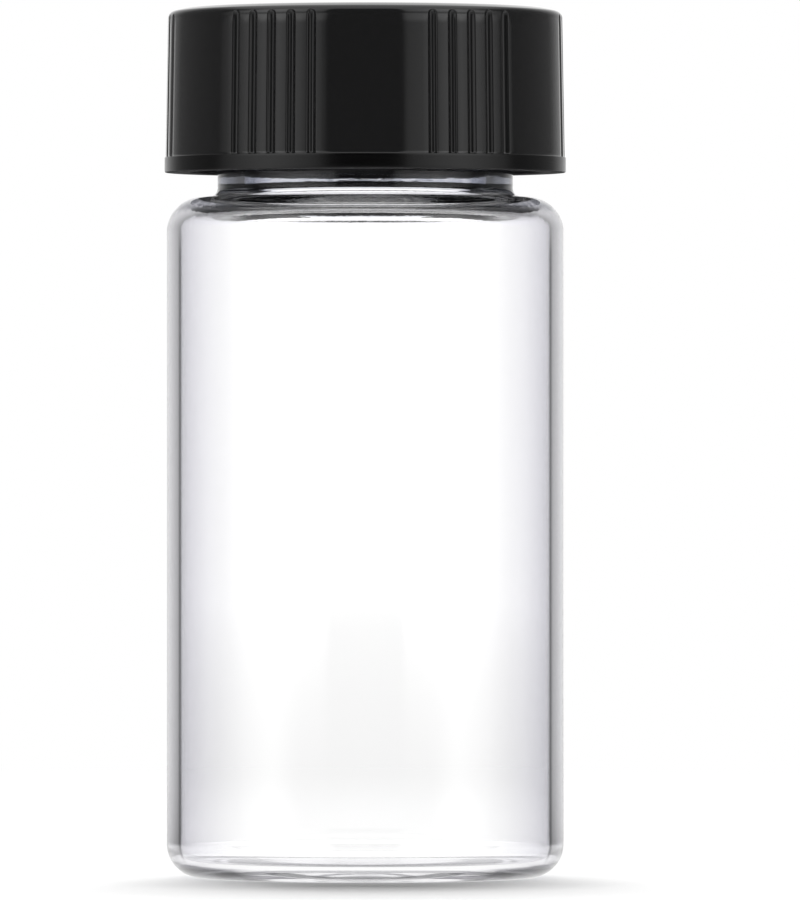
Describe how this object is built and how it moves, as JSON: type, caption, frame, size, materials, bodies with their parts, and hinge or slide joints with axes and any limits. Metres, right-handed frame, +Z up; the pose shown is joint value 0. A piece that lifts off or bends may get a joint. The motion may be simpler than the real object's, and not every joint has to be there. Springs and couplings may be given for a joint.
{
  "type": "glass sample vial",
  "caption": "Small clear glass vial with a round shoulder and a narrower threaded neck, closed by a ribbed black screw cap over a soft sealing disc",
  "frame": {"origin": "centre of the base, on the surface that the vial stands on", "axes": "+Z up along the vial's axis; -Y is the front, where a plain panel of the cap's skirt faces; +X to the right seen from the front"},
  "size_m": [0.0276, 0.0276, 0.06],
  "materials": {
    "clear_glass": "clear fire-polished glass",
    "black_plastic": "glossy moulded, faint flow and handling marks",
    "liner_foam": "closed-cell foam with a smooth skin"
  },
  "bodies": {
    "vial": {"vial": "clear_glass"},
    "liner": {"liner": "liner_foam"},
    "cap": {"cap": "black_plastic"}
  },
  "joints": [
    {"name": "cap_lift", "type": "slide", "parent": "vial", "child": "liner", "axis": [0, 0, 1], "range_m": [0, 0.00953]},
    {"name": "cap_turn", "type": "hinge", "parent": "liner", "child": "cap", "pos_m": [0, 0, 0.0537], "axis": [0, 0, 1], "range_deg": [0, 1080]}
  ],
  "couplings": [
    {"joint": "cap_lift", "follows": "cap_turn", "m_per_rad": 0.00050532}
  ]
}
